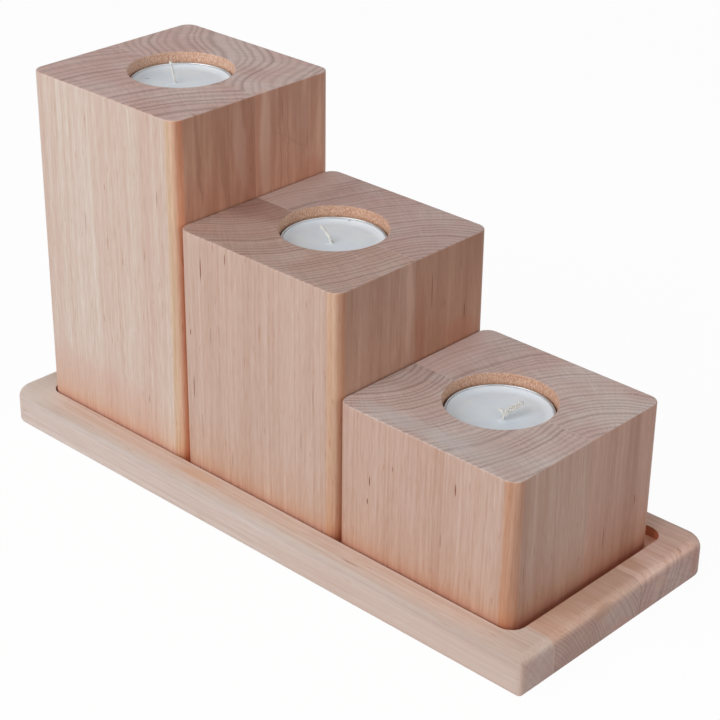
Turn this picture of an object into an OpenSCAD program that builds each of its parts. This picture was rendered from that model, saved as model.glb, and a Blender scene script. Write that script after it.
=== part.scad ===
/* [Candle blocks] */
// Side of each square block
block_side = 80; // [64:1:110]
// Height of the tall block
tall_height = 140; // [106:1:200]
// Height of the middle block
middle_height = 100; // [70:1:150]
// Height of the short block
short_height = 60; // [40:1:90]
// Rounding of the upright edges of a block
upright_edge_r = 5; // [2:0.5:9]
// Sanded softening of the top and bottom edges of a block
block_edge_r = 0.6; // [0.3:0.1:1.2]
// Gap between one block and the next
block_gap = 0.45; // [0.35:0.05:2]

/* [Candle bores] */
// Play around the rim of a cup in its bore
cup_play = 0.75; // [0.4:0.05:2]
// Depth of a cup's rim below the top of its block
rim_drop = 4; // [1:0.5:8]
// Sanded edge break around the mouth of the bore
bore_break = 0.3; // [0.1:0.1:1]

/* [Tray] */
// Thickness of the tray board
tray_thickness = 14; // [11:0.5:24]
// Depth of the recess that the blocks stand in
recess_depth = 4; // [2:0.5:7]
// Rounding of the recess's corners in plan
recess_corner_r = 6.5; // [3:0.5:10]
// Width of the rim along the front and the back
side_rim_w = 10.3; // [9:0.5:20]
// Width of the rim at the two ends
end_rim_w = 12; // [9:0.5:24]
// Rounding of the tray's corners in plan
tray_corner_r = 8; // [6.5:0.5:14]
// Rounding in plan of the one corner that is left crisp, at the front right
crisp_corner_r = 2.5; // [1:0.5:6]
// Round-over of the upper outer edge
tray_top_r = 4.2; // [2:0.1:6]
// Softening of the lower outer edge
tray_base_r = 0.6; // [0.3:0.1:2.5]
// Width of the front stave of the tray
tray_front_stave_w = 17.4; // [14:0.2:30]
// Width of the middle stave of the tray
tray_middle_stave_w = 48.6; // [30:0.2:56]

/* [Play of the blocks in the recess] */
// Play left of the tall block
play_left = 0.8; // [0.5:0.1:4]
// Play right of the short block
play_right = 3.1; // [0.5:0.1:6]
// Play in front of the blocks
play_front = 1.1; // [0.5:0.1:4]
// Play behind the blocks
play_back = 5.3; // [0.5:0.1:8]

/* [Candle cups] */
// Diameter over the rolled rim of a cup
cup_rim_d = 39; // [37:0.1:46]
// Height of a cup
cup_height = 16; // [14:0.5:22]
// Thickness of the pressed metal
cup_wall = 0.3; // [0.2:0.05:0.5]
// Diameter of the rolled bead at the rim
bead_d = 0.8; // [0.7:0.05:1.2]
// Outer rounding where the wall turns into the base
cup_base_r = 1.6; // [1:0.1:3]
// Diameter of the raised panel in the base
base_panel_d = 30; // [22:1:32]
// Height by which the base panel is raised
base_panel_lift = 0.5; // [0.3:0.1:1]

/* [Wax and wicks] */
// Depth of the wax below the rim of the cup
wax_drop = 1.6; // [1:0.1:4]
// Radius of the curve in which the wax meets the wall
wax_curve_r = 1.2; // [0.6:0.1:2]
// Height that the wax climbs at the wall
wax_climb = 0.6; // [0.2:0.1:0.8]
// Diameter of the plate that holds a wick
tab_d = 12; // [9:0.5:16]
// Thickness of that plate and of its neck
tab_wall = 0.4; // [0.2:0.05:0.6]
// Height of the neck that grips the wick
tab_neck_h = 4; // [2:0.5:6]
// Thickness of the wick in the tall block
tall_wick_d = 1.1; // [0.8:0.1:2]
// Thickness of the wick in the middle block
middle_wick_d = 1.4; // [0.8:0.1:2]
// Thickness of the waxed wick in the short block
short_wick_d = 2.4; // [1.5:0.1:3]
// Straight length at the free end of the tall block's wick
tall_wick_reach = 6.4; // [3:0.2:9]
// Straight length at the free end of the middle block's wick
middle_wick_reach = 4.6; // [2:0.2:8]
// Straight length at the free end of the short block's wick
short_wick_reach = 6; // [3:0.2:8]
// Bending radius of the tall block's wick
tall_wick_bend_r = 5; // [3:0.5:8]
// Bending radius of the middle block's wick
middle_wick_bend_r = 4; // [2:0.5:8]
// Bending radius of the short block's wick
short_wick_bend_r = 3; // [2:0.5:5]

/* [Hidden] */
$fn = 96;

// One overrun for every cut
overrun = 1;

// Recess and tray, centred on the origin, with the tray's underside at height zero
recess_l = play_left + 3 * block_side + 2 * block_gap + play_right;
recess_w = play_front + block_side + play_back;
tray_l = recess_l + 2 * end_rim_w;
tray_w = recess_w + 2 * side_rim_w;
recess_floor_z = tray_thickness - recess_depth;

// Side of the square of tray that makes the crisp corner: it reaches past the round corner under it
crisp_side = tray_corner_r + 2 * tray_top_r;

// Edges between the tray's staves, from the front to the back
first_joint_y = tray_front_stave_w - tray_w / 2;
second_joint_y = first_joint_y + tray_middle_stave_w;

// Bore of each block, sized for its cup
bore_d = cup_rim_d + 2 * cup_play;
bore_depth = cup_height + rim_drop;

// Place of a block's axis: rank 0 is the tall block, 1 the middle one and 2 the short one
first_block_x = play_left + block_side / 2 - recess_l / 2;
block_y = play_front + block_side / 2 - recess_w / 2;
function block_x(rank) = first_block_x + rank * (block_side + block_gap);

// Inside of a cup, measured from its underside
cup_body_r = cup_rim_d / 2 - bead_d / 2 - cup_wall / 3;
cup_inner_r = cup_body_r - cup_wall;
wax_level = cup_height - wax_drop;
tab_base_z = cup_wall + base_panel_lift;
// Height of the wax above the underside of the plate that holds the wick
wax_rise = wax_level - tab_base_z;

// Where each wick leaves the wax, from the axis of its cup, as shares of the tab's diameter
tall_wick_spot_shares = [-0.1, -0.18];
middle_wick_spot_shares = [0.05, -0.16];
short_wick_spot_shares = [0.19, -0.04];

// Heading and angle of each wick's bend, in degrees
tall_wick_heading = 163;
tall_wick_bend = 28;
middle_wick_heading = 186;
middle_wick_bend = 50;
short_wick_heading = 79;
short_wick_bend = 80;
// Sides of a wick and steps of its bend
wick_sides = 12;
wick_bend_steps = 6;

wood = "#d9b18f";
end_grain = "#c9a68c";
metal = "#c9ccd1";
paraffin = "#dfe4ea";
cotton = "#e9e2cf";

// Right half of a board's section, from its middle line to its edge
module half_section(half, h, top_r, base_r) {
    translate([0, base_r])
        square([half - top_r, h - base_r]);
    square([half - base_r, h - top_r]);
    translate([0, base_r])
        square([half, h - top_r - base_r]);
    translate([half - top_r, h - top_r])
        circle(r = top_r);
    translate([half - base_r, base_r])
        circle(r = base_r);
}

module full_section(w, h, top_r, base_r) {
    half_section(w / 2, h, top_r, base_r);
    mirror([1, 0])
        half_section(w / 2, h, top_r, base_r);
}

// Board with rounded corners in plan and rounded upper and lower edges, standing on height zero
module soft_board(l, w, h, plan_r, top_r, base_r) {
    rotate([90, 0, 90])
        linear_extrude(l - 2 * plan_r, center = true)
            full_section(w, h, top_r, base_r);
    rotate([90, 0, 0])
        linear_extrude(w - 2 * plan_r, center = true)
            full_section(l, h, top_r, base_r);
    for (sx = [-1, 1], sy = [-1, 1])
        translate([sx * (l / 2 - plan_r), sy * (w / 2 - plan_r), 0])
            rotate_extrude()
                intersection() {
                    half_section(plan_r, h, top_r, base_r);
                    square([plan_r, h]);
                }
}

module rounded_plan(l, w, r) {
    square([l, w - 2 * r], center = true);
    square([l - 2 * r, w], center = true);
    for (sx = [-1, 1], sy = [-1, 1])
        translate([sx * (l / 2 - r), sy * (w / 2 - r)])
            circle(r = r);
}

// Square board whose rounded upper edges meet in a mitre, standing on height zero
module mitred_board(side, h, plan_r, top_r, base_r) {
    intersection() {
        rotate([90, 0, 90])
            linear_extrude(side, center = true)
                full_section(side, h, top_r, base_r);
        rotate([90, 0, 0])
            linear_extrude(side, center = true)
                full_section(side, h, top_r, base_r);
        linear_extrude(h)
            rounded_plan(side, side, plan_r);
    }
}

// Upright slice of space between two planes across the depth
module slice(front_y, back_y, l, h) {
    translate([-l / 2 - overrun, front_y, -overrun])
        cube([l + 2 * overrun, back_y - front_y, h + 2 * overrun]);
}

module tray_board() {
    difference() {
        union() {
            soft_board(tray_l, tray_w, tray_thickness, tray_corner_r, tray_top_r, tray_base_r);
            translate([(tray_l - crisp_side) / 2, (crisp_side - tray_w) / 2, 0])
                mitred_board(crisp_side, tray_thickness, crisp_corner_r, tray_top_r, tray_base_r);
        }
        translate([0, 0, recess_floor_z])
            linear_extrude(recess_depth + overrun)
                rounded_plan(recess_l, recess_w, recess_corner_r);
    }
}

module tray_stave(front_y, back_y) {
    color(wood)
        intersection() {
            tray_board();
            slice(front_y, back_y, tray_l, tray_thickness);
        }
}

// Bore with its sanded mouth, cut down from the top of a block of height h
module candle_bore(h) {
    translate([0, 0, h - bore_depth])
        cylinder(d = bore_d, h = bore_depth + overrun);
    translate([0, 0, h - bore_break])
        cylinder(d1 = bore_d, d2 = bore_d + 2 * bore_break, h = bore_break);
}

// Half of a block: side is -1 for the front stave and 1 for the back stave
module block_stave(rank, h, side) {
    reach = block_side / 2 + overrun;
    color(side < 0 ? wood : end_grain)
        translate([block_x(rank), block_y, recess_floor_z])
            difference() {
                intersection() {
                    soft_board(block_side, block_side, h, upright_edge_r, block_edge_r, block_edge_r);
                    slice(min(0, side * reach), max(0, side * reach), block_side, h);
                }
                candle_bore(h);
            }
}

// Space inside a cup in section, from its floor up to the height top
module cup_inside(top) {
    inner_r = cup_base_r - cup_wall;
    difference() {
        union() {
            translate([0, cup_wall])
                square([cup_inner_r - inner_r, top - cup_wall]);
            translate([0, cup_base_r])
                square([cup_inner_r, top - cup_base_r]);
            translate([cup_inner_r - inner_r, cup_base_r])
                circle(r = inner_r);
        }
        square([base_panel_d / 2, cup_wall + base_panel_lift]);
    }
}

module cup_shell() {
    color(metal)
        rotate_extrude() {
            difference() {
                union() {
                    square([cup_body_r - cup_base_r, cup_height - bead_d / 2]);
                    translate([0, cup_base_r])
                        square([cup_body_r, cup_height - cup_base_r - bead_d / 2]);
                    translate([cup_body_r - cup_base_r, cup_base_r])
                        circle(r = cup_base_r);
                }
                square([base_panel_d / 2 - cup_wall, base_panel_lift]);
                cup_inside(cup_height + overrun);
            }
            translate([cup_rim_d / 2 - bead_d / 2, cup_height - bead_d / 2])
                circle(d = bead_d);
        }
}

// Wax in section, with the curve in which it climbs the wall
module wax_section() {
    cup_inside(wax_level);
    difference() {
        translate([cup_inner_r - wax_curve_r, wax_level - wax_climb])
            square([wax_curve_r, 2 * wax_climb]);
        translate([cup_inner_r - wax_curve_r, wax_level + wax_curve_r])
            circle(r = wax_curve_r);
    }
}

// Plate with a neck that grips a wick of the given thickness
module wick_holder(wick_d) {
    cylinder(d = tab_d, h = tab_wall);
    cylinder(d = wick_d + 2 * tab_wall, h = tab_neck_h);
}

// Rings of a wick, each as distance out, height and tilt: up from the plate, round the bend, straight on
function wick_rings(bend_r, bend, reach) = [
    [0, tab_wall, 0],
    for (i = [0 : wick_bend_steps])
        let (tilt = bend * i / wick_bend_steps)
            [bend_r * (1 - cos(tilt)), wax_rise + bend_r * sin(tilt), tilt],
    [bend_r * (1 - cos(bend)) + reach * sin(bend), wax_rise + bend_r * sin(bend) + reach * cos(bend), bend]
];

// Points around one ring, square to the wick there
function ring_points(ring, r) = [
    for (k = [0 : wick_sides - 1])
        let (turn = 360 * k / wick_sides)
            [ring[0] + r * cos(turn) * cos(ring[2]), r * sin(turn), ring[1] - r * cos(turn) * sin(ring[2])]
];

// Wick as one bent rod, standing on its plate
module wick_rod(wick_d, bend_r, bend, reach) {
    rings = wick_rings(bend_r, bend, reach);
    last = len(rings) - 1;
    points = [for (ring = rings) each ring_points(ring, wick_d / 2)];
    walls = [
        for (i = [0 : last - 1], k = [0 : wick_sides - 1])
            let (next = (k + 1) % wick_sides, low = i * wick_sides, high = low + wick_sides)
                [low + k, high + k, high + next, low + next]
    ];
    foot = [for (k = [0 : wick_sides - 1]) k];
    tip = [for (k = [0 : wick_sides - 1]) last * wick_sides + wick_sides - 1 - k];
    polyhedron(points, concat(walls, [foot, tip]));
}

// Places what belongs to a candle: at the cup's underside, in the bore of a block
module in_bore(rank, h) {
    translate([block_x(rank), block_y, recess_floor_z + h - bore_depth])
        children();
}

module at_wick(spot_shares) {
    translate([spot_shares[0] * tab_d, spot_shares[1] * tab_d, tab_base_z])
        children();
}

module candle_cup(rank, h) {
    in_bore(rank, h)
        cup_shell();
}

module candle_wax(rank, h, wick_d, spot_shares) {
    color(paraffin)
        in_bore(rank, h)
            difference() {
                rotate_extrude()
                    wax_section();
                at_wick(spot_shares) {
                    wick_holder(wick_d);
                    cylinder(d = wick_d, h = wax_rise + overrun);
                }
            }
}

module candle_wick(rank, h, wick_d, spot_shares, heading, bend_r, bend, reach) {
    color(cotton)
        in_bore(rank, h)
            at_wick(spot_shares)
                rotate([0, 0, heading])
                    wick_rod(wick_d, bend_r, bend, reach);
}

module candle_wick_tab(rank, h, wick_d, spot_shares) {
    color(metal)
        in_bore(rank, h)
            at_wick(spot_shares)
                difference() {
                    wick_holder(wick_d);
                    translate([0, 0, tab_wall])
                        cylinder(d = wick_d, h = tab_neck_h);
                }
}

module tray_front_stave() { tray_stave(-tray_w / 2 - overrun, first_joint_y); }
module tray_middle_stave() { tray_stave(first_joint_y, second_joint_y); }
module tray_back_stave() { tray_stave(second_joint_y, tray_w / 2 + overrun); }

module tall_front_stave() { block_stave(0, tall_height, -1); }
module tall_back_stave() { block_stave(0, tall_height, 1); }
module tall_cup() { candle_cup(0, tall_height); }
module tall_wax() { candle_wax(0, tall_height, tall_wick_d, tall_wick_spot_shares); }
module tall_wick() {
    candle_wick(0, tall_height, tall_wick_d, tall_wick_spot_shares,
        tall_wick_heading, tall_wick_bend_r, tall_wick_bend, tall_wick_reach);
}
module tall_wick_tab() { candle_wick_tab(0, tall_height, tall_wick_d, tall_wick_spot_shares); }

module middle_front_stave() { block_stave(1, middle_height, -1); }
module middle_back_stave() { block_stave(1, middle_height, 1); }
module middle_cup() { candle_cup(1, middle_height); }
module middle_wax() { candle_wax(1, middle_height, middle_wick_d, middle_wick_spot_shares); }
module middle_wick() {
    candle_wick(1, middle_height, middle_wick_d, middle_wick_spot_shares,
        middle_wick_heading, middle_wick_bend_r, middle_wick_bend, middle_wick_reach);
}
module middle_wick_tab() { candle_wick_tab(1, middle_height, middle_wick_d, middle_wick_spot_shares); }

module short_front_stave() { block_stave(2, short_height, -1); }
module short_back_stave() { block_stave(2, short_height, 1); }
module short_cup() { candle_cup(2, short_height); }
module short_wax() { candle_wax(2, short_height, short_wick_d, short_wick_spot_shares); }
module short_wick() {
    candle_wick(2, short_height, short_wick_d, short_wick_spot_shares,
        short_wick_heading, short_wick_bend_r, short_wick_bend, short_wick_reach);
}
module short_wick_tab() { candle_wick_tab(2, short_height, short_wick_d, short_wick_spot_shares); }

tray_front_stave();
tray_middle_stave();
tray_back_stave();
tall_front_stave();
tall_back_stave();
middle_front_stave();
middle_back_stave();
short_front_stave();
short_back_stave();
tall_cup();
tall_wax();
tall_wick();
tall_wick_tab();
middle_cup();
middle_wax();
middle_wick();
middle_wick_tab();
short_cup();
short_wax();
short_wick();
short_wick_tab();
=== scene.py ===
# Advent candle holder: three wooden blocks of falling height on a tray, a tealight in each

import math
from functools import partial

import bmesh
import bpy
from mathutils import Matrix, Vector, noise


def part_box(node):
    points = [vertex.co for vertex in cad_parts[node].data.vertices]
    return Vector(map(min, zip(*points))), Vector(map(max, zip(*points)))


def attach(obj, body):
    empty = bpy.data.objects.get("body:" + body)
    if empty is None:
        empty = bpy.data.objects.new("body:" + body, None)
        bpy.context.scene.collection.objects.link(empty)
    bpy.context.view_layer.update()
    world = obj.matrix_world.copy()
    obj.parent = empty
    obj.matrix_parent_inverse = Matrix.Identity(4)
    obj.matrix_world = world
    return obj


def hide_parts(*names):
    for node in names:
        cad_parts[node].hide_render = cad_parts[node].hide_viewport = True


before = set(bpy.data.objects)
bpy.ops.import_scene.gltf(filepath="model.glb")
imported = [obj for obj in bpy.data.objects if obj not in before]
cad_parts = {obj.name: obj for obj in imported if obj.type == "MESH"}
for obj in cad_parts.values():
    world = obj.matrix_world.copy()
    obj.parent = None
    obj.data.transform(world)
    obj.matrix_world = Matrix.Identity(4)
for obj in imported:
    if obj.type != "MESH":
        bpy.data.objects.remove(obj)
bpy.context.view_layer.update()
mm = 0.001
ranks = ("tall", "middle", "short")


def hexColour(text):
    # sRGB hex to the linear values that the shaders want
    parts = [int(text[i:i + 2], 16) / 255 for i in (1, 3, 5)]
    return tuple(p / 12.92 if p <= 0.04045 else ((p + 0.055) / 1.055) ** 2.4 for p in parts) + (1.0,)


def addNode(tree, kind, settings=None, inputs=None, output=0):
    # settings are the node's own, or only its operation; inputs are values or sockets to link, by
    # name or in their order; gives back one output
    node = tree.nodes.new("ShaderNode" + kind)
    if isinstance(settings, str):
        settings = {"operation": settings}
    if isinstance(inputs, tuple):
        inputs = dict(enumerate(inputs))
    for name, value in (settings or {}).items():
        if name == "stops":
            ramp = node.color_ramp.elements
            ramp[0].position, ramp[1].position = value[0][0], value[-1][0]
            for place, colour in value[1:-1]:
                ramp.new(place)
            for element, (place, colour) in zip(ramp, value):
                element.color = colour
        else:
            setattr(node, name, value)
    for name, value in (inputs or {}).items():
        if isinstance(value, bpy.types.NodeSocket):
            tree.links.new(value, node.inputs[name])
        else:
            node.inputs[name].default_value = value
    return node.outputs[output] if len(node.outputs) else node


def newMaterial(name):
    material = bpy.data.materials.new(name)
    material.use_nodes = True
    material.node_tree.nodes.clear()
    return material, partial(addNode, material.node_tree)


def grey(value):
    return (value, value, value, 1.0)


def toneStops(tones, places=(0.3, 0.7)):
    # the stops of a colour ramp
    return [(place, hexColour(tone)) for place, tone in zip(places, tones)]


def fromLimits(limits):
    # inputs of a Map Range node: the values that become 0 and 1, or with the next, those they become
    return {"From Min": limits[0], "From Max": limits[1]}


def toLimits(limits):
    return {"To Min": limits[0], "To Max": limits[1]}


mix = {"data_type": "RGBA"}                    # settings of a Mix node for colours
smooth = {"interpolation_type": "SMOOTHSTEP"}  # and of a Map Range node with soft ends


# Camera, at the height and turn from which the photograph was taken
cameraSetup = {
    "azimuth": 43.149,              # degrees round from the front
    "elevation": 27.671,
    "roll": 0.721,
    "distance": 0.71837,            # metres from the target
    "target": (0.01259, -0.0021, 0.06116),
    "lens": 97.52,
    "sensor": 36.0,
}


def makeCamera(setup):
    azimuth, elevation, roll = (math.radians(setup[k]) for k in ("azimuth", "elevation", "roll"))
    level = Vector((math.sin(azimuth), -math.cos(azimuth), 0)) * math.cos(elevation)
    back = level + Vector((0, 0, math.sin(elevation)))
    right = Vector((math.cos(azimuth), math.sin(azimuth), 0))
    axes = Matrix((right, back.cross(right), back)).transposed().to_4x4()
    data = bpy.data.cameras.new("camera")
    data.lens, data.sensor_width = setup["lens"], setup["sensor"]
    camera = bpy.data.objects.new("camera", data)
    eye = Vector(setup["target"]) + back * setup["distance"]
    camera.matrix_world = Matrix.Translation(eye) @ axes @ Matrix.Rotation(roll, 4, "Z")
    bpy.context.scene.collection.objects.link(camera)
    bpy.context.scene.camera = camera


makeCamera(cameraSetup)
print("camera placed")


# Light: a wide softbox before the object, a weaker one on its right, the rest from a pale room
lightSetup = {
    "softboxes": {                  # place and size in metres, power in watts
        "key": ((-0.3, -1.9, 1.3), 2.0, 41.5),
        "fill": ((1.7, -0.1, 0.75), 1.1, 7.5),
    },
    "aim": (0.0, 0.0, 0.06),
    "room": 0.22,                   # strength of the room on the object
    "floorTone": "#DADADA",
    "floorReach": 6.0,              # metres
    "floorGlow": 0.96,              # share of the floor that is plain white to the camera
}


def makeLights(setup):
    for name, (place, size, power) in setup["softboxes"].items():
        data = bpy.data.lights.new(name, "AREA")
        data.shape, data.size, data.energy = "SQUARE", size, power
        lamp = bpy.data.objects.new(name, data)
        lamp.location = place
        aim = Vector(setup["aim"]) - Vector(place)
        lamp.rotation_euler = aim.to_track_quat("-Z", "Y").to_euler()
        bpy.context.scene.collection.objects.link(lamp)


def seenDirectly(add):
    # 1 for what the camera sees, straight or in a reflection, and 0 for light that falls on things
    path = add("LightPath", output="Is Camera Ray")
    seen = add("Math", "MAXIMUM", (path, path.node.outputs["Is Glossy Ray"]))
    return add("Math", "MAXIMUM", (seen, path.node.outputs["Is Transmission Ray"]))


def makeRoom(setup):
    # a pale room, which the camera sees as plain white
    world = bpy.data.worlds.new("room")
    world.use_nodes = True
    bpy.context.scene.world = world
    world.node_tree.nodes.clear()
    add = partial(addNode, world.node_tree)
    room = add("Background", None, {"Color": grey(1.0), "Strength": setup["room"]})
    white = add("Background", None, {"Color": grey(1.0), "Strength": 1.0})
    both = add("MixShader", None, (seenDirectly(add), room, white))
    add("OutputWorld", None, {"Surface": both})


def makeFloor(setup):
    # matt painted board, which to the camera is nearly all plain white and keeps a faint shadow
    material, add = newMaterial("matt_painted_board")
    seen = seenDirectly(add)
    tone = add("Mix", mix, {0: seen, 6: hexColour(setup["floorTone"]), 7: grey(1.0)}, output=2)
    share = add("Math", "MULTIPLY", (seen, setup["floorGlow"]))
    matt = add("BsdfDiffuse", None, {"Color": tone})
    glow = add("Emission", None, {"Color": grey(1.0), "Strength": 1.0})
    both = add("MixShader", None, (share, matt, glow))
    add("OutputMaterial", None, {"Surface": both})
    bm = bmesh.new()
    bmesh.ops.create_grid(bm, x_segments=1, y_segments=1, size=setup["floorReach"])
    mesh = bpy.data.meshes.new("floor")
    bm.to_mesh(mesh)
    bm.free()
    mesh.materials.append(material)
    floor = bpy.data.objects.new("floor", mesh)
    bpy.context.scene.collection.objects.link(floor)


makeLights(lightSetup)
makeRoom(lightSetup)
makeFloor(lightSetup)
bpy.context.scene.view_settings.view_transform = "Standard"
print("light and floor made")


# Wood. Sanded alder, glued up in staves: solid growth rings run through each stave, so that the
# end grain, the faces and the edges agree. Lengths are in millimetres.
alder = {
    "noises": {                     # size across and along the grain, start and detail
        "sway": {"across": 42.0, "along": 190.0, "start": 0.0, "detail": 0.5},  # slow bends of the rings
        "waver": {"across": 6.0, "along": 70.0, "start": 0.9, "detail": 1.0},  # and small ones
        "fibre": {"across": 0.6, "along": 7.0, "start": 1.7, "detail": 2.0},  # finer in real wood
        "line": {"across": 1.05, "along": 170.0, "start": 2.3, "detail": 2.0},
        "streak": {"across": 11.0, "along": 260.0, "start": 3.1, "detail": 2.0},
        "dash": {"across": 0.8, "along": 8.0, "start": 4.4, "detail": 1.5},  # short dark vessels
        "sideStreak": {"across": 9.0, "along": 120.0, "start": 5.2, "detail": 2.0},
    },
    "seedStep": 7.3,                # how far apart two staves lie in each noise
    "noiseSpread": (0.28, 0.72),    # nearly all of a noise lies between these
    "waver": 1.4,                   # how far the small wavers bend a ring
    "ringStops": ((0.0, 0.75), (0.14, 0.15), (0.5, 0.1), (0.85, 1.0), (1.0, 0.75)),
    "ringDrift": 2.4,               # how unevenly wide the rings are
    "ringStrength": (0.35, 1.0),    # of the faintest year and of the strongest
    "ringOnFace": 0.03,             # how much darker late wood is on the long grain
    "lineDepth": 0.1,               # and how much fine lines and fibres darken and lighten it
    "fibreDepth": 0.1,
    "warmth": (0.6, 1.05, 1.35),    # dark lines on the long grain are browner, not greyer
    "streakSpread": (0.2, 0.8),
    "sideStreakSpread": (0.3, 0.7),
    "sideTurn": (0.6, 0.99),        # how squarely a face must look sideways for the side's tones
    "dashSpread": (0.66, 0.8),
    "dashTone": "#EED9CB",
    "poreSize": 0.55,
    "poreDepth": 0.07,
    "scratchAcross": 0.45,          # sanding scratches on the end grain
    "scratchAlong": 12.0,
    "scratchTurn": 38.0,            # degrees
    "scratchDepth": 0.035,
    "rayStep": 0.9,                 # rays, seen on end grain as fine lines square to the rings
    "rayLength": 14.0,
    "rayReach": 70.0,
    "rayDepth": 0.07,
    "washSize": 20.0,               # uneven tone of the end grain
    "washSpread": (0.35, 0.68),
    "washTone": "#F5E8E4",
    "endTurn": {"Z": (0.5, 0.88), "X": (0.66, 0.98)},  # how squarely a face must cut the grain
    "cornerTurn": (0.0, 0.22),      # where the painted light on the upright corner begins and is at its full
    "cornerWaver": 0.7,             # how far the fine lines shift the edge between tan and orange
    "cornerSpread": (0.75, 1.2),
    # brightness of the painted light on the corner
    "cornerLightLift": 1.12,
    "boreReach": 20.4,
    "boreTones": ("#A8714F", "#E6C1A8"),
    "boreLineSize": (0.48, 0.48, 0.8),  # torn fibres, a little taller than wide
    "boreSpread": (0.25, 0.75),
    "fleckTone": "#7E4A36",
    "fleckHalfWidth": 0.36,
    "fleckDepth": 2.0,
    "markSpread": (0.45, 1.0),      # from where a stain or fleck is at its full to where it ends
    "wobbleSize": 9.0,              # unevenness of a stain's edge
    "wobble": 3.0,
    "roughness": (0.5, 0.64),
    "roughSpread": (0.25, 0.75),
    "reliefDepth": 0.03,            # how far late wood stands up, and what share of it fibres do
    "fibreRelief": 0.7,
}
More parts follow.
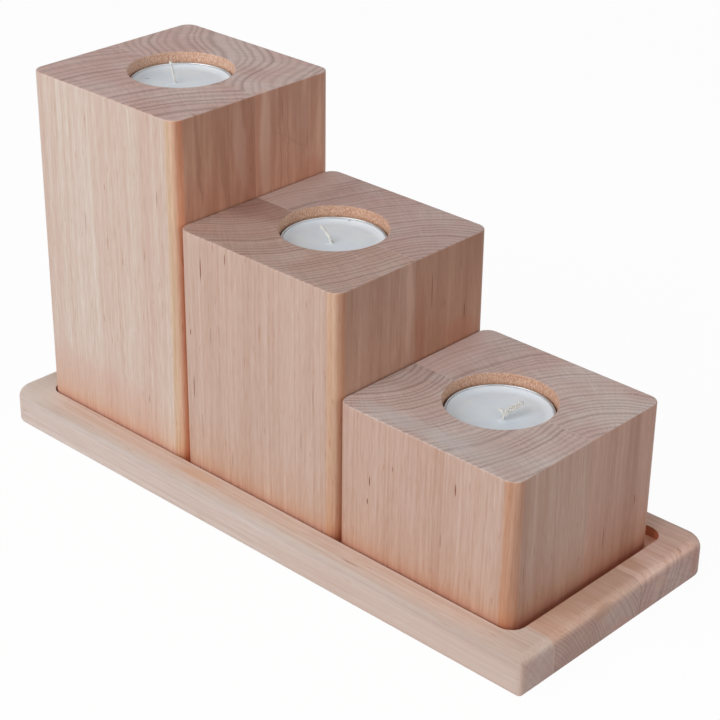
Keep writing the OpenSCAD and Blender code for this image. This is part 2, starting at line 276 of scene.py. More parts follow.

# Each block's staves. Places are from the block's axis and the tray's underside. The pith is where
# the rings are centred; bend is how far they sway; wave adds a regular swell to them. Face tones are
# those of the front and back, side tones those of the sides, deeper and more orange: partly the sides'
# own grain and partly painted warm shade. Above the next lower block the sides darken upwards, a
# painted fade of the warm light bounced off that block's top, and their streaks lean by so many degrees.
# Corner tones are painted light on the front right upright corner. A stain is a place, radii, a lean, a
# tone and a strength, and a fleck is a place, half its length and its strength.
blockWood = {
    "tall_front_stave": {
        "seed": 1.0, "pith": (90, -45), "ringWidth": 4.4, "bend": 7.0,
        "dashTone": "#E3CABB",
        "faceTones": ("#D8C8BA", "#CBAC9E"), "sideTones": ("#D09D82", "#B1765D"),
        "endTones": ("#D3B7AF", "#A68980"), "cornerLightTones": ("#EFE3CE", "#FDE2CE"),
        "boreTones": ("#B27B5A", "#EFCCB5"),
        "lean": 7, "sideBounceFade": {"heights": (110, 150), "left": 0.78},
        "stains": (
            ((40, -28.5, 136), (6, 1.3, 30), 4, "#A06E58", 0.55),
            ((40, -16, 128), (6, 2.6, 34), 7, "#A4725A", 0.5),
            ((40, -8, 134), (6, 4, 26), 5, "#CFA592", 0.4),
            # painted warm bounce light off the middle block's top
            ((40, -23, 112), (6, 4.5, 14), 3, "#B57D64", 0.4),
            # painted warm bounce light from the tray, low on the front
            ((-12, -40, 18), (56, 6, 26), 0, "#CFA698", 0.36),
        ),
        "flecks": (((30, -40, 118), 3.9, 0.5), ((21, -40, 32), 2.6, 0.5), ((-12, -40, 96), 6.5, 0.35)),
    },
    "tall_back_stave": {
        "seed": 2.0, "pith": (-80, -50), "ringWidth": 3.6, "bend": 9.0,
        "wave": {"height": 2.6, "length": 46.0, "way": -0.75, "start": 1.4},
        "line": {"across": 0.9}, "lineDepth": 0.13,
        "faceTones": ("#D8C2B3", "#C9A593"), "sideTones": ("#D8A48A", "#B47860"),
        "endTones": ("#D5BCB5", "#A98E85"), "cornerLightTones": ("#F1DDC6", "#FFDCC6"),
        "boreTones": ("#B27B5A", "#EFCCB5"),
        "lean": 7, "sideBounceFade": {"heights": (110, 150), "left": 0.78},
        "stains": (
            ((40, 0.6, 130), (6, 1.5, 34), -4, "#C98B70", 0.5),
            ((40, 5, 128), (6, 3.4, 40), 0, "#DDB49E", 0.5),
            ((40, 13, 130), (6, 0.5, 30), 0, "#9C6650", 0.4),
            ((40, 17, 126), (6, 0.5, 34), 1, "#9C6650", 0.35),
            ((40, 24, 134), (6, 6, 18), 3, "#AE7F69", 0.4),
            ((40, 18, 128), (6, 0.6, 15), 55, "#A56A52", 0.2),
            # painted warm bounce light off the middle block's top
            ((40, 30, 112), (6, 7, 9), 3, "#C07F66", 0.4),
        ),
        "flecks": (((40, 14, 141), 6.5, 0.5), ((40, 27, 126), 5.2, 0.4)),
    },
    "middle_front_stave": {
        "seed": 3.0, "pith": (-71, 14), "ringWidth": 2.3, "bend": 6.0,
        "faceTones": ("#CDB1A2", "#BD9B8A"), "sideTones": ("#C79E89", "#B3856F"),
        "endTones": ("#C9AEA2", "#9B8177"), "cornerLightTones": ("#F7E9D6", "#FCEFDF"),
        "lean": 3, "sideBounceFade": {"heights": (70, 110), "left": 0.82},
        "stains": (
            # darker over the left of the top, next to the tall block
            ((-34, -7, 110), (26, 13, 3), 0, "#966A5F", 0.5),
            ((40, -3, 92), (6, 2, 30), 0, "#D0A692", 0.45),
            ((-22, -24, 110), (12, 12, 3), 0, "#B28C7F", 0.3),
        ),
        "flecks": (
            ((-28, -40, 97.5), 6, 1.0), ((-15, -40, 105.5), 2.9, 0.8),
            ((-23.5, -40, 72.5), 4.5, 0.4), ((-34.4, -40, 70), 1.6, 0.9),
            ((-33.3, -40, 47.5), 6.5, 0.8), ((29, -40, 67.5), 7.8, 0.35),
            ((-13, -40, 23.8), 5.2, 0.4), ((23, -40, 47), 5.2, 0.4), ((-29, -40, 31), 6.5, 0.4),
        ),
    },
    "middle_back_stave": {
        "seed": 4.0, "pith": (58, 4), "ringWidth": 2.4, "bend": 9.0,
        "faceTones": ("#CFB2A1", "#BA9684"), "sideTones": ("#BF9078", "#A57259"),
        "endTones": ("#C9AFA7", "#A0847B"), "cornerLightTones": ("#F1DFCB", "#F6E4D4"),
        "lean": 3, "sideBounceFade": {"heights": (70, 110), "left": 0.82},
        "stains": (
            ((40, 3, 84), (6, 3.4, 26), 3, "#A9705A", 0.5),
            # painted warm bounce light off the short block's top
            ((40, 25, 74), (6, 12, 7), 0, "#B5735A", 0.35),
            # painted light that lifts the shade beside the tall block, on the far left of the top
            ((-36, 16, 110), (14, 46, 3), 0, "#E7C9BD", 0.4),
        ),
        "flecks": (((40, 9, 95), 9.1, 0.8), ((40, 27.2, 81), 4.4, 1.0), ((40, 16, 88), 2.6, 0.4)),
    },
    "short_front_stave": {
        "seed": 5.0, "pith": (-56, -7), "ringWidth": 2.4, "bend": 6.0,
        "faceTones": ("#CBAC9C", "#BA9584"), "sideTones": ("#BE9C8C", "#AE8978"),
        "endTones": ("#D7C6BF", "#AA938C"), "cornerLightTones": ("#EFDAC5", "#F6E6D6"),
        "stains": (
            ((-8, -34, 70), (34, 5, 3), 0, "#CFC6C4", 0.45),
            ((20, -30, 70), (22, 10, 3), 0, "#C9BAB5", 0.35),
        ),
        "flecks": (
            ((14.8, -40, 57.5), 3.1, 1.0), ((-24, -40, 44.4), 2.6, 1.0),
            ((-24.9, -40, 36), 1.6, 1.0), ((-13.4, -40, 53.7), 1.3, 0.6),
            ((40, -33.5, 32), 5.2, 0.4), ((9, -40, 35), 3.9, 0.4),
        ),
    },
    "short_back_stave": {
        "seed": 6.0, "pith": (62, 3), "ringWidth": 2.5, "bend": 10.0,
        "faceTones": ("#CCAE9D", "#B89482"), "sideTones": ("#C19887", "#AC816F"),
        "endTones": ("#D7C4BD", "#AF9790"), "cornerLightTones": ("#EBD6C1", "#F2E2D2"),
        "stains": (
            # painted light that lifts the shade beside the middle block, on the far left of the top
            ((-36, 16, 70), (14, 46, 3), 0, "#F6DBD4", 0.4),
        ),
        "flecks": (((40, 27.8, 35), 2.9, 0.9), ((40, 10.5, 27), 6.5, 0.7), ((31, 37, 69.5), 1.3, 0.5)),
    },
}

# The tray's staves, with the pith as its height and its place from front to back. Places are from
# the tray's middle. Face tones are those of its top, side tones those of its long edges.
trayWood = {
    "tray_front_stave": {
        "seed": 7.0, "pith": (-60, -135), "ringWidth": 2.6, "bend": 5.0,
        "line": {"across": 0.8}, "lineDepth": 0.11, "fibreDepth": 0.06,
        "faceTones": ("#DDC7B9", "#D5B9A9"), "sideTones": ("#D4C3B9", "#CDB8AE"),
        "endTones": ("#C4AEA6", "#BAA298"),
        "stains": (
            ((-27, -47, 14), (15, 3, 4), 0, "#D9AE8E", 0.5),
            ((120, -54, 5), (150, 7, 12), 0, "#C3A293", 0.4),
            # painted light: the left end of the rim paler
            ((-130, -46, 15), (32, 15, 5), 0, "#E2D3C8", 0.8),
        ),
        "flecks": (((54, -50, 14), 5, 0.4),),
    },
    "tray_middle_stave": {
        "seed": 8.0, "pith": (-68, -112), "ringWidth": 1.35, "bend": 8.0,
        "line": {"across": 0.8}, "lineDepth": 0.05, "ringOnFace": 0.05,
        "faceTones": ("#DBBAA7", "#D2A791"), "sideTones": ("#DDB99F", "#CC9A7D"),
        "endTones": ("#BDA195", "#A38780"),
        "stains": (
            ((134, -9, 12), (3, 8, 3.2), 0, "#B08770", 0.5),
            ((134, -28, 3), (3, 9, 4), 0, "#A58078", 0.4),
            ((134, 2, 2), (3, 8, 2.4), 0, "#C08F86", 0.4),
            ((122, -20, 14), (9, 9, 3), 0, "#D6AC8C", 0.45),
            # painted light: the left end of the rim paler
            ((-130, -34, 15), (16, 16, 5), 0, "#DFCFC3", 0.7),
        ),
    },
    "tray_back_stave": {
        "seed": 9.0, "pith": (-39, 129), "ringWidth": 3.4, "bend": 9.0,
        "line": {"across": 0.9}, "ringOnFace": 0.1,
        "faceTones": ("#EECBB9", "#DFB3A0"), "sideTones": ("#D9CBC0", "#C9B1A4"),
        "endTones": ("#C1A49B", "#A3877F"),
        "stains": (
            ((133, 45, 7), (5, 3.4, 7), 0, "#A9786A", 0.5),
            ((134, 24, 8), (3, 6, 3), 0, "#C2A08F", 0.5),
            ((122, 19, 14), (11, 5, 3), 0, "#CFA286", 0.6),
            ((100, 48, 14), (18, 2, 3), 0, "#D69F83", 0.45),
        ),
        "flecks": (((131.8, 38.2, 13.5), 1.6, 0.6), ((119, 22, 14), 3, 0.35)),
    },
}

# Painted warm bounce light from the tray rim, strongest at a block's foot: from the first height to the
# second the wood is multiplied by these.
footBounce = {
    "heights": (13.0, 38.0),
    "places": (0.0, 0.06, 0.12, 0.2, 0.36, 1.0),
    "tones": ("#FFDCCB", "#FFE2D3", "#FFEADB", "#FFF3E6", "#FFF8F2", "#FFFFFF"),
}

trayEdge = {
    "rimSide": 10.3,                # width of the rim along the sides and at the ends
    "rimEnd": 12.0,
    "sideShade": -0.44,             # painted shade on the long round-over, painted light on the end one
    "endShade": 0.16,
    "recessSlack": (0.05, 0.1),     # outwards and down, so that the recess is found by its faces
    # painted warm bounce light in the recess: its floor and walls are lifted
    "recessLightLift": 1.2,
    "recessLightTone": "#FFF6E8",        # painted warm bounce light that the floor and walls of the recess are multiplied by
    "wallShadeTone": "#E4A690",          # and painted warm shade that the walls are multiplied by once more
}

# Glue lines, at a stave's back edge
blockGlue = {"tone": "#E3CDBD", "halfWidth": 0.12, "onEnd": 0.35, "onFace": 0.06}
trayGlue = {
    "tray_front_stave": {"tone": "#E9D9C9", "halfWidth": 0.14, "onEnd": 0.32, "onFace": 0.16},
    "tray_middle_stave": {"tone": "#7D5B4C", "halfWidth": 0.14, "onEnd": 0.55, "onFace": 0.275},
}


def stavePlaces(add, wood, grainAxis, axis):
    # what the rest of the material reads: places in millimetres, and again with the grain upright
    # and the pith in the middle
    place = add("TexCoord", output="Object")
    inMm = add("VectorMath", "SCALE", {0: place, "Scale": 1 / mm})
    x = add("SeparateXYZ", None, {"Vector": inMm}, output="X")
    first, second = (start + off for start, off in zip(axis, wood["pith"]))
    turn, shift = 0.0, (-first, -second, 0)
    if grainAxis == "X":
        turn, shift = -math.pi / 2, (first, -second, 0)
    grain = add("Mapping", None, {"Vector": inMm, "Rotation": (0, turn, 0), "Location": shift})
    return {
        "inMm": inMm, "x": x, "y": x.node.outputs["Y"], "z": x.node.outputs["Z"],
        "facing": place.node.outputs["Normal"], "grain": grain,
    }


def pattern(add, wood, on, name, output=0):
    # one of the wood's noises, long along the grain and in each stave another part of it
    size = dict(alder["noises"][name], **wood.get(name, {}))
    start = wood["seed"] * alder["seedStep"] + size["start"]
    across, along = 1 / size["across"], 1 / size["along"]
    vector = add("Mapping", None, {
        "Vector": on, "Scale": (across, across, along), "Location": (start, 2 * start, 3 * start),
    })
    return add("TexNoise", None, {"Vector": vector, "Scale": 1.0, "Detail": size["detail"]}, output)


def facingTo(add, here, way):
    # 1 where the surface faces the given way, -1 where it faces the other way
    return add("VectorMath", "DOT_PRODUCT", (here["facing"], way), output="Value")


def squareTo(add, here, way):
    # 1 where the surface faces along the given way, 0 where it lies along it
    return add("Math", "ABSOLUTE", (facingTo(add, here, way),))


def shaded(add, colour, noises, warmth=(1.0, 1.0, 1.0)):
    # the colour made lighter and darker by each noise, by its depth in red, green and blue
    for value, depth in noises:
        share = add("MapRange", None, {"Value": value, **fromLimits(alder["noiseSpread"])})
        dark, light = ([1 + way * depth * w for w in warmth] + [1.0] for way in (-1, 1))
        shade = add("Mix", mix, {0: share, 6: dark, 7: light}, output=2)
        colour = add("VectorMath", "MULTIPLY", (colour, shade))
    return colour


def tinted(add, colour, tone, share):
    # the colour multiplied by a tone, where share is 1
    both = add("VectorMath", "MULTIPLY", (colour, hexColour(tone)[:3]))
    return add("Mix", mix, {0: share, 6: colour, 7: both}, output=2)


def marked(add, colour, on, centre, radii, tone, share, lean=0.0):
    # the colour gone over to a tone in an oval with a soft edge
    off = add("Mapping", {"vector_type": "TEXTURE"}, {
        "Vector": on, "Location": centre, "Rotation": (math.radians(lean), 0, 0), "Scale": radii,
    })
    off = add("VectorMath", "LENGTH", (off,), output="Value")
    limits = {**fromLimits(alder["markSpread"]), **toLimits((share, 0.0))}
    mark = add("MapRange", smooth, {"Value": off, **limits})
    return add("Mix", mix, {0: mark, 6: colour, 7: hexColour(tone)}, output=2)


def growthRings(add, wood, here):
    # rings round the pith, bent by a slow sway and a small waver, and in one stave by a swell
    swayed = here["grain"]
    for name, far in (("sway", wood["bend"]), ("waver", alder["waver"])):
        bends = pattern(add, wood, here["grain"], name, "Color")
        swayed = add("VectorMath", "MULTIPLY_ADD", (bends, (far, far, 0), swayed))
    flat = add("VectorMath", "MULTIPLY", (swayed, (1, 1, 0)))
    radius = add("VectorMath", "LENGTH", (flat,), output="Value")
    if "wave" in wood:
        wave = wood["wave"]
        way = [turn(wave["way"]) / wave["length"] * math.tau for turn in (math.cos, math.sin)]
        along = add("VectorMath", "DOT_PRODUCT", (here["inMm"], (*way, 0)), output="Value")
        swell = add("Math", "SINE", (add("Math", "ADD", (along, wave["start"])),))
        radius = add("Math", "MULTIPLY_ADD", (swell, wave["height"], radius))
    slow = add("Math", "DIVIDE", (radius, wood["ringWidth"] * 4))
    drift = add("TexNoise", {"noise_dimensions": "1D"}, {"W": slow, "Scale": 1.0, "Detail": 1.0})
    count = add("Math", "DIVIDE", (radius, wood["ringWidth"]))
    count = add("Math", "MULTIPLY_ADD", (drift, alder["ringDrift"], count))
    part = add("Math", "FRACT", (count,))
    stops = [(place, grey(value)) for place, value in alder["ringStops"]]
    late = add("ValToRGB", {"stops": stops}, {"Fac": part})
    year = add("Math", "FLOOR", (count,))
    year = add("TexWhiteNoise", {"noise_dimensions": "1D"}, {"W": year})
    strength = add("MapRange", None, {"Value": year, **toLimits(alder["ringStrength"])})
    ring = add("Math", "MULTIPLY", (late, strength))
    here.update(swayed=swayed, radius=radius, ring=ring)


def paintedCornerLight(add, wood, here, face, across):
    # painted light on the upright corner at the front right: the face made tan, more orange towards the
    # side, and brightened
    tan, orange = (hexColour(c) for c in wood["cornerLightTones"])
    uneven = add("Math", "MULTIPLY_ADD", (here["line"], alder["cornerWaver"], across))
    tone = add("MapRange", None, {"Value": uneven, **fromLimits(alder["cornerSpread"])})
    tone = add("Mix", mix, {0: tone, 6: tan, 7: orange}, output=2)
    tone = add("VectorMath", "MULTIPLY", (face, tone))
    tone = add("VectorMath", "SCALE", {0: tone, "Scale": alder["cornerLightLift"]})
    right, front = (facingTo(add, here, way) for way in ((1, 0, 0), (0, -1, 0)))
    corner = add("Math", "MULTIPLY", (right, front))
    corner = add("MapRange", smooth, {"Value": corner, **fromLimits(alder["cornerTurn"])})
    return add("Mix", mix, {0: corner, 6: face, 7: tone}, output=2)


def longGrain(add, wood, here, sideWay):
    # pale to deep streaks, on the sides of their own deeper tones that are partly painted warm shade,
    # then late wood, fibres, lines and vessels
    streak = pattern(add, wood, here["swayed"], "streak")
    streak = add("MapRange", None, {"Value": streak, **fromLimits(alder["streakSpread"])})
    pale, deep = (hexColour(c) for c in wood["faceTones"])
    face = add("Mix", mix, {0: streak, 6: pale, 7: deep}, output=2)
    lean = (math.radians(wood.get("lean", 0.0)), 0, 0)
    streak = add("Mapping", None, {"Vector": here["swayed"], "Rotation": lean})
    streak = pattern(add, wood, streak, "sideStreak")
    streak = add("MapRange", None, {"Value": streak, **fromLimits(alder["sideStreakSpread"])})
    pale, deep = (hexColour(c) for c in wood["sideTones"])
    side = add("Mix", mix, {0: streak, 6: pale, 7: deep}, output=2)
    # painted bounce light: above the lower block's top the sides darken upwards
    if "sideBounceFade" in wood:
        limits = {**fromLimits(wood["sideBounceFade"]["heights"]), **toLimits((1.0, wood["sideBounceFade"]["left"]))}
        fade = add("MapRange", None, {"Value": here["z"], **limits})
        side = add("VectorMath", "SCALE", {0: side, "Scale": fade})
    across = squareTo(add, here, sideWay)
    turned = add("MapRange", smooth, {"Value": across, **fromLimits(alder["sideTurn"])})
    face = add("Mix", mix, {0: turned, 6: face, 7: side}, output=2)
    if "cornerLightTones" in wood:
        face = paintedCornerLight(add, wood, here, face, across)
    early = add("Math", "SUBTRACT", (1.0, here["ring"]))
    depths = [wood.get(name, alder[name]) for name in ("ringOnFace", "fibreDepth", "lineDepth")]
    face = shaded(add, face, zip((early, here["fibre"], here["line"]), depths), alder["warmth"])
    dash = pattern(add, wood, here["swayed"], "dash")
    dash = add("MapRange", smooth, {"Value": dash, **fromLimits(alder["dashSpread"])})
    return tinted(add, face, wood.get("dashTone", alder["dashTone"]), dash)


def endGrain(add, wood, here):
    # brown ring lines on a greyer ground, with pores, sanding scratches, rays and an uneven tone
    pale, deep = (hexColour(c) for c in wood["endTones"])
    end = add("Mix", mix, {0: here["ring"], 6: pale, 7: deep}, output=2)
    pore = add("TexNoise", None, {"Vector": here["inMm"], "Scale": 1 / alder["poreSize"], "Detail": 1.5})
    turn = (0, 0, math.radians(alder["scratchTurn"]))
    scratch = add("Mapping", None, {"Vector": here["grain"], "Rotation": turn})
    across, along = 1 / alder["scratchAcross"], 1 / alder["scratchAlong"]
    scratch = add("Mapping", None, {"Vector": scratch, "Scale": (along, across, along)})
    scratch = add("TexNoise", None, {"Vector": scratch, "Scale": 1.0, "Detail": 2.0})
    x = add("SeparateXYZ", None, {"Vector": here["swayed"]}, output="X")
    turn = add("Math", "ARCTAN2", (x.node.outputs["Y"], x))
    turn = add("Math", "MULTIPLY", (turn, alder["rayReach"] / alder["rayStep"]))
    out = add("Math", "DIVIDE", (here["radius"], alder["rayLength"]))
    ray = add("CombineXYZ", None, (turn, out))
    ray = add("TexNoise", None, {"Vector": ray, "Scale": 1.0, "Detail": 1.0})
    noises = ((pore, alder["poreDepth"]), (scratch, alder["scratchDepth"]), (ray, alder["rayDepth"]))
    end = shaded(add, end, noises)
    wash = add("TexNoise", None, {"Vector": here["inMm"], "Scale": 1 / alder["washSize"], "Detail": 2.0})
    wash = add("MapRange", smooth, {"Value": wash, **fromLimits(alder["washSpread"])})
    return tinted(add, end, alder["washTone"], wash)


def stained(add, colour, wood, here, axis):
    # the larger stains, whose edges wobble
    wobble = {"Vector": here["inMm"], "Scale": 1 / alder["wobbleSize"], "Detail": 2.0}
    wobble = add("TexNoise", None, wobble, "Color")
    far = Vector((1, 1, 1)) * alder["wobble"]
    on = add("VectorMath", "MULTIPLY_ADD", (wobble, far, here["inMm"]))
    on = add("VectorMath", "SUBTRACT", (on, far / 2))
    for (x, y, z), radii, lean, tone, share in wood["stains"]:
        centre = (axis[0] + x, axis[1] + y, z)
        colour = marked(add, colour, on, centre, radii, tone, share, lean)
    return colour


def paintedFootBounce(add, colour, here, foot):
    # painted warm bounce light from the tray: a block is warmer towards its foot
    up = add("MapRange", None, {"Value": here["z"], **fromLimits(foot["heights"])})
    warm = add("ValToRGB", {"stops": toneStops(foot["tones"], foot["places"])}, {"Fac": up})
    return add("VectorMath", "MULTIPLY", (colour, warm))


def drilledWall(add, colour, wood, here, axis):
    # the wall of the bore: warmer, with torn fibres
    flat = add("VectorMath", "MULTIPLY", (here["inMm"], (1, 1, 0)))
    reach = add("VectorMath", "DISTANCE", (flat, (*axis, 0)), output="Value")
    inside = add("Math", "LESS_THAN", (reach, alder["boreReach"]))
    finer = [1 / size for size in alder["boreLineSize"]]
    torn = add("Mapping", None, {"Vector": here["inMm"], "Scale": finer})
    torn = add("TexNoise", None, {"Vector": torn, "Scale": 1.0, "Detail": 3.0})
    torn = add("MapRange", None, {"Value": torn, **fromLimits(alder["boreSpread"])})
    deep, pale = (hexColour(c) for c in wood.get("boreTones", alder["boreTones"]))
    wall = add("Mix", mix, {0: torn, 6: deep, 7: pale}, output=2)
    return add("Mix", mix, {0: inside, 6: colour, 7: wall}, output=2)


def paintedRoundOverShade(add, colour, here, edge):
    # painted shade on the tray's round-overs along the sides, painted light on those at the ends
    shade = 1.0
    for way, depth in (((1, 0, 0), edge["endShade"]), ((0, 1, 0), edge["sideShade"])):
        level, upright = squareTo(add, here, way), squareTo(add, here, (0, 0, 1))
        between = add("Math", "MULTIPLY", (level, upright))
        shade = add("Math", "MULTIPLY_ADD", (between, depth, shade))
    return add("VectorMath", "SCALE", {0: colour, "Scale": shade})


def paintedRecessLight(add, colour, here, edge):
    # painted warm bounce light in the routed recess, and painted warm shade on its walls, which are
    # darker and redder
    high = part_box("tray_middle_stave")[1]
    front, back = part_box("tray_front_stave")[0].y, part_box("tray_back_stave")[1].y
    halves = (high.x / mm - edge["rimEnd"], (back - front) / 2 / mm - edge["rimSide"])
    outwards, down = edge["recessSlack"]
    off = []
    for place, half in zip((here["x"], here["y"]), halves):
        away = add("Math", "ABSOLUTE", (place,))
        off.append(add("Math", "SUBTRACT", (away, half)))
    off = add("Math", "MAXIMUM", tuple(off))
    isWithin = add("Math", "LESS_THAN", (off, outwards))
    isBelow = add("Math", "LESS_THAN", (here["z"], high.z / mm - down))
    isIn = add("Math", "MULTIPLY", (isWithin, isBelow))
    lifted = add("VectorMath", "SCALE", {0: colour, "Scale": edge["recessLightLift"]})
    colour = add("Mix", mix, {0: isIn, 6: colour, 7: lifted}, output=2)
    colour = tinted(add, colour, edge["recessLightTone"], isIn)
    isFloor = add("Math", "MULTIPLY", (isIn, squareTo(add, here, (0, 0, 1))))
    isWall = add("Math", "SUBTRACT", (isIn, isFloor))
    return tinted(add, colour, edge["wallShadeTone"], isWall)


def glued(add, colour, here, isEnd, at, glue):
    # a glue line, plainer on the end grain than on the long grain
    away = add("Math", "SUBTRACT", (here["y"], at))
    away = add("Math", "ABSOLUTE", (away,))
    limits = {**fromLimits((glue["halfWidth"], glue["halfWidth"] * 2)), **toLimits((1.0, 0.0))}
    onLine = add("MapRange", smooth, {"Value": away, **limits})
    share = add("Math", "MULTIPLY_ADD", (isEnd, glue["onEnd"] - glue["onFace"], glue["onFace"]))
    onLine = add("Math", "MULTIPLY", (onLine, share))
    return add("Mix", mix, {0: onLine, 6: colour, 7: hexColour(glue["tone"])}, output=2)


def flecked(add, colour, wood, here, grainAxis, axis):
    # short dark flecks that run along the grain and lie flat on their face
    thin, deep = alder["fleckHalfWidth"], alder["fleckDepth"]
    for (x, y, z), half, share in wood.get("flecks", ()):
        radii = (thin, deep, half) if abs(y) > abs(x) else (deep, thin, half)
        if grainAxis == "X":
            radii = (half, thin, deep)
        centre = (axis[0] + x, axis[1] + y, z)
        colour = marked(add, colour, here["inMm"], centre, radii, alder["fleckTone"], share)
    return colour


def woodMaterial(name, wood, grainAxis, axis, seams):
    # Sanded, unlacquered alder: a soft satin face, a duller end grain, hardly any relief
    material, add = newMaterial(name + "_sanded_alder")
    here = stavePlaces(add, wood, grainAxis, axis)
    growthRings(add, wood, here)
    here["fibre"] = pattern(add, wood, here["grain"], "fibre")
    here["line"] = pattern(add, wood, here["swayed"], "line")
    grainWay, sideWay = ((0, 0, 1), (1, 0, 0)) if grainAxis == "Z" else ((1, 0, 0), (0, 1, 0))
    face, end = longGrain(add, wood, here, sideWay), endGrain(add, wood, here)
    isEnd = {"Value": squareTo(add, here, grainWay), **fromLimits(alder["endTurn"][grainAxis])}
    isEnd = add("MapRange", smooth, isEnd)
    colour = add("Mix", mix, {0: isEnd, 6: face, 7: end}, output=2)
    colour = stained(add, colour, wood, here, axis)
    if grainAxis == "Z":
        colour = paintedFootBounce(add, colour, here, footBounce)
        colour = drilledWall(add, colour, wood, here, axis)
    else:
        colour = paintedRoundOverShade(add, colour, here, trayEdge)
        colour = paintedRecessLight(add, colour, here, trayEdge)
    for at, glue in seams:
        colour = glued(add, colour, here, isEnd, at, glue)
    colour = flecked(add, colour, wood, here, grainAxis, axis)
    limits = {**fromLimits(alder["roughSpread"]), **toLimits(alder["roughness"])}
    rough = add("MapRange", None, {"Value": here["fibre"], **limits})
    relief = add("Math", "MULTIPLY_ADD", (here["fibre"], alder["fibreRelief"], here["ring"]))
    bump = add("Bump", None, {"Height": relief, "Distance": alder["reliefDepth"] * mm, "Strength": 1.0})
    looks = {"Base Color": colour, "Roughness": rough, "Normal": bump, "IOR": 1.5}
    add("OutputMaterial", None, {"Surface": add("BsdfPrincipled", None, looks)})
    return material


def dress(node, material):
    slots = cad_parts[node].data.materials
    slots.clear()
    slots.append(material)


def blockAxis(rank):
    # upright line through the middle of a block, in millimetres
    low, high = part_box(rank + "_front_stave")[0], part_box(rank + "_back_stave")[1]
    return (low.x + high.x) / 2 / mm, (low.y + high.y) / 2 / mm


for rank in ranks:
    axis = blockAxis(rank)
    for stave in (rank + "_front_stave", rank + "_back_stave"):
        dress(stave, woodMaterial(stave, blockWood[stave], "Z", axis, [(axis[1], blockGlue)]))
seams = [(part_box(stave)[1].y / mm, glue) for stave, glue in trayGlue.items()]
for stave, wood in trayWood.items():
    dress(stave, woodMaterial(stave, wood, "X", (0, 0), seams))
print("wood finished")


# Tealights. Lengths are in millimetres, heights are from the underside of the cup.
def cupPlace(rank):
    # middle of the underside of a block's cup
    low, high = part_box(rank + "_cup")
    return (low.x + high.x) / 2 / mm, (low.y + high.y) / 2 / mm, low.z / mm


def arc(centre, radius, fromTurn, toTurn, steps):
    # points along an arc in a section, turns in degrees
    turns = (math.radians(fromTurn + (toTurn - fromTurn) * i / steps) for i in range(steps + 1))
    return [(centre[0] + radius * math.cos(t), centre[1] + radius * math.sin(t)) for t in turns]


def spinSection(section, steps):
    # turns a section, given as radius and height, once round the upright axis
    bm = bmesh.new()
    verts = [bm.verts.new((r, 0, z)) for r, z in section]
    edges = [bm.edges.new(pair) for pair in zip(verts, verts[1:])]
    bmesh.ops.spin(
        bm, geom=verts + edges, cent=(0, 0, 0), axis=(0, 0, 1), dvec=(0, 0, 0), angle=2 * math.pi,
        steps=steps, use_merge=True, use_duplicate=False,
    )
    bmesh.ops.remove_doubles(bm, verts=bm.verts, dist=0.0005)
    bmesh.ops.recalc_face_normals(bm, faces=bm.faces)
    return bm


def addPiece(rank, piece, node):
    # the piece moves with its tealight and takes the place of the CAD's own
    bpy.context.scene.collection.objects.link(piece)
    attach(piece, rank + "_tealight")
    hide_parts(rank + node)


def finishPiece(rank, name, bm, material, node):
    bm.transform(Matrix.Scale(mm, 4) @ Matrix.Translation(cupPlace(rank)))
    for face in bm.faces:
        face.smooth = True
    mesh = bpy.data.meshes.new(rank + name)
    bm.to_mesh(mesh)
    bm.free()
    mesh.materials.append(material)
    addPiece(rank, bpy.data.objects.new(rank + name, mesh), node)


cup = {
    "wall": 0.16,                   # thickness of the foil
    "wallRadius": 18.88,            # inside of the wall
    "baseRadius": 1.5,
    "panelRadius": 15.0,
    "panelLift": 0.5,
    "stepWidth": 0.7,
    "stackRadius": 9.0,             # shallow ring pressed into the base panel
    "stackSection": ((-1, 0), (-0.4, 0.22), (0.4, 0.22), (1, 0)),
    "seat": 0.02,                   # a hair off the bore's floor, so that the two share no face
    "beadRadius": 0.29,
    "beadTop": 16.0,
    "beadTurn": (180, -150),        # degrees that the rim is rolled through
    "dent": 0.05,                   # how far the thin wall wavers
    "dentSize": 4.0,
    "arcSteps": 8,
    "wallSteps": 12,
    "beadSteps": 14,
    "steps": 160,
    "tones": ("#B3B7BB", "#C9CCCF"),
    "roughness": (0.34, 0.5),
    "drawnSize": (0.667, 0.667, 6.25),  # marks of the press, long down the wall
    "smearSize": 4.55,
    "markDepth": 0.02,
}


def cupMaterial(c):
    # thin pressed aluminium, bright but brushed dull by the press and by handling
    material, add = newMaterial("pressed_aluminium")
    place = add("TexCoord", output="Object")
    drawn = [1 / (size * mm) for size in c["drawnSize"]]
    drawn = add("Mapping", None, {"Vector": place, "Scale": drawn})
    drawn = add("TexNoise", None, {"Vector": drawn, "Scale": 1.0, "Detail": 2.0})
    smear = add("TexNoise", None, {"Vector": place, "Scale": 1 / (c["smearSize"] * mm), "Detail": 3.0})
    tone = add("ValToRGB", {"stops": toneStops(c["tones"])}, {"Fac": smear})
    dull = add("Math", "MULTIPLY", (drawn, smear))
    limits = {**fromLimits((0.15, 0.4)), **toLimits(c["roughness"])}
    rough = add("MapRange", None, {"Value": dull, **limits})
    bump = add("Bump", None, {"Height": drawn, "Distance": c["markDepth"] * mm, "Strength": 0.5})
    looks = {"Base Color": tone, "Metallic": 1.0, "Roughness": rough, "Normal": bump}
    add("OutputMaterial", None, {"Surface": add("BsdfPrincipled", None, looks)})
    return material


